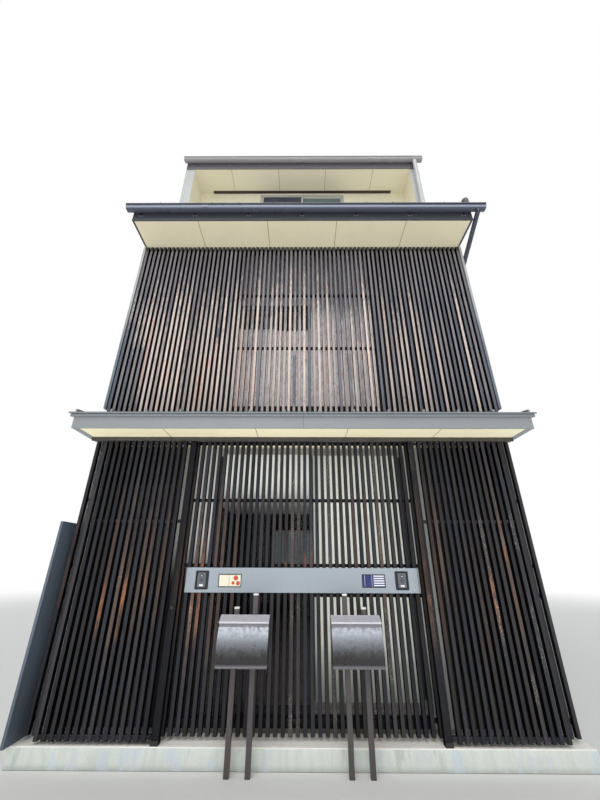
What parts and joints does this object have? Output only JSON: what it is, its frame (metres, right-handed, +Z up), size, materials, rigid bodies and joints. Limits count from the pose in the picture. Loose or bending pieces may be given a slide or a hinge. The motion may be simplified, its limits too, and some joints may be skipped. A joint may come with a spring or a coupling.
{
  "type": "machiya townhouse",
  "caption": "Narrow three-storey townhouse with slatted timber front, sliding lattice doors, canopy, set-back top floor and mailboxes.",
  "frame": {"origin": "centre of the foundation's underside, on the ground", "axes": "+Z up, the street front faces -Y, +X is to the right for someone who faces the front"},
  "size_m": [4.689, 8.646, 9.776],
  "materials": {
    "concrete": "fair-faced concrete",
    "siding": "light grey siding",
    "cream_wall": "matt cream render board",
    "floor_board": "plain boards",
    "dark_timber": "dark stained, weathered",
    "grey_timber": "dark stained, bleached",
    "door_timber": "dark stained, weathered",
    "valance_board": "grey-brown stained",
    "canopy_metal": "grey coated steel",
    "roof_metal": "dark coated steel",
    "soffit_board": "matt cream board",
    "navy_metal": "dark navy coated",
    "pale_pipe": "pale grey",
    "panel_metal": "blue-grey coated",
    "sign_metal": "pale blue-grey satin",
    "black_plastic": "matt",
    "plate": "glazed",
    "mailbox_steel": "mottled zinc",
    "post_steel": "dark brown",
    "cap": "pale",
    "window_metal": "satin",
    "window_glass": "clear",
    "blind_cloth": "plain white",
    "steel": "bare",
    "vent_metal": "dark brown",
    "grey_plastic": "grey",
    "frame_timber": "dark stained"
  },
  "bodies": {
    "house": {"canopy_fascia": "canopy_metal", "canopy_roof": "canopy_metal", "canopy_soffit": "soffit_board", "centre_lattice": "dark_timber", "corner_trims": "siding", "door_guides": "steel", "door_lintels": "cream_wall", "door_track": "steel", "door_valance": "valance_board", "doorway_frames": "frame_timber", "edge_lattices": "dark_timber", "foundation": "concrete", "front_wall": "cream_wall", "front_window_frames": "window_metal", "front_window_glass": "window_glass", "intercoms": "black_plastic", "left_end_panel": "panel_metal", "left_mailbox": "mailbox_steel", "left_party_wall": "siding", "lower_downpipe": "navy_metal", "lower_fascia": "navy_metal", "lower_gutter": "navy_metal", "lower_roof": "roof_metal", "lower_soffit": "soffit_board", "mailbox_posts": "post_steel", "nameplates": "plate", "post_caps": "cap", "rear_downpipe": "navy_metal", "rear_ground_wall": "siding", "rear_gutter": "navy_metal", "rear_second_wall": "siding", "rear_third_wall": "siding", "rear_window_frames": "window_metal", "rear_window_glass": "window_glass", "ridge_cap": "roof_metal", "right_mailbox": "mailbox_steel", "right_party_wall": "siding", "second_floor": "floor_board", "second_floor_wall": "cream_wall", "service_cap": "grey_plastic", "sign_panel": "sign_metal", "soffit_vent": "vent_metal", "third_floor": "floor_board", "third_floor_wall": "cream_wall", "upper_downpipe": "pale_pipe", "upper_fascias": "navy_metal", "upper_gutter": "navy_metal", "upper_lattice": "grey_timber", "upper_roof": "roof_metal", "upper_soffits": "soffit_board", "window_blind": "blind_cloth"},
    "left_door": {"left_lattice_door": "door_timber", "left_door_fittings": "steel"},
    "right_door": {"right_lattice_door": "door_timber", "right_door_fittings": "steel"},
    "left_lid": {"left_mailbox_lid": "mailbox_steel"},
    "right_lid": {"right_mailbox_lid": "mailbox_steel"}
  },
  "joints": [
    {"name": "left_door_slide", "type": "slide", "parent": "house", "child": "left_door", "axis": [1, 0, 0], "range_m": [0, 0.9]},
    {"name": "right_door_slide", "type": "slide", "parent": "house", "child": "right_door", "axis": [-1, 0, 0], "range_m": [0, 0.9]},
    {"name": "left_lid_hinge", "type": "hinge", "parent": "house", "child": "left_lid", "pos_m": [-0.468, -3.9046, 1.019], "axis": [-1, 0, 0], "range_deg": [0, 70]},
    {"name": "right_lid_hinge", "type": "hinge", "parent": "house", "child": "right_lid", "pos_m": [0.443, -3.9046, 1.019], "axis": [-1, 0, 0], "range_deg": [0, 70]}
  ]
}
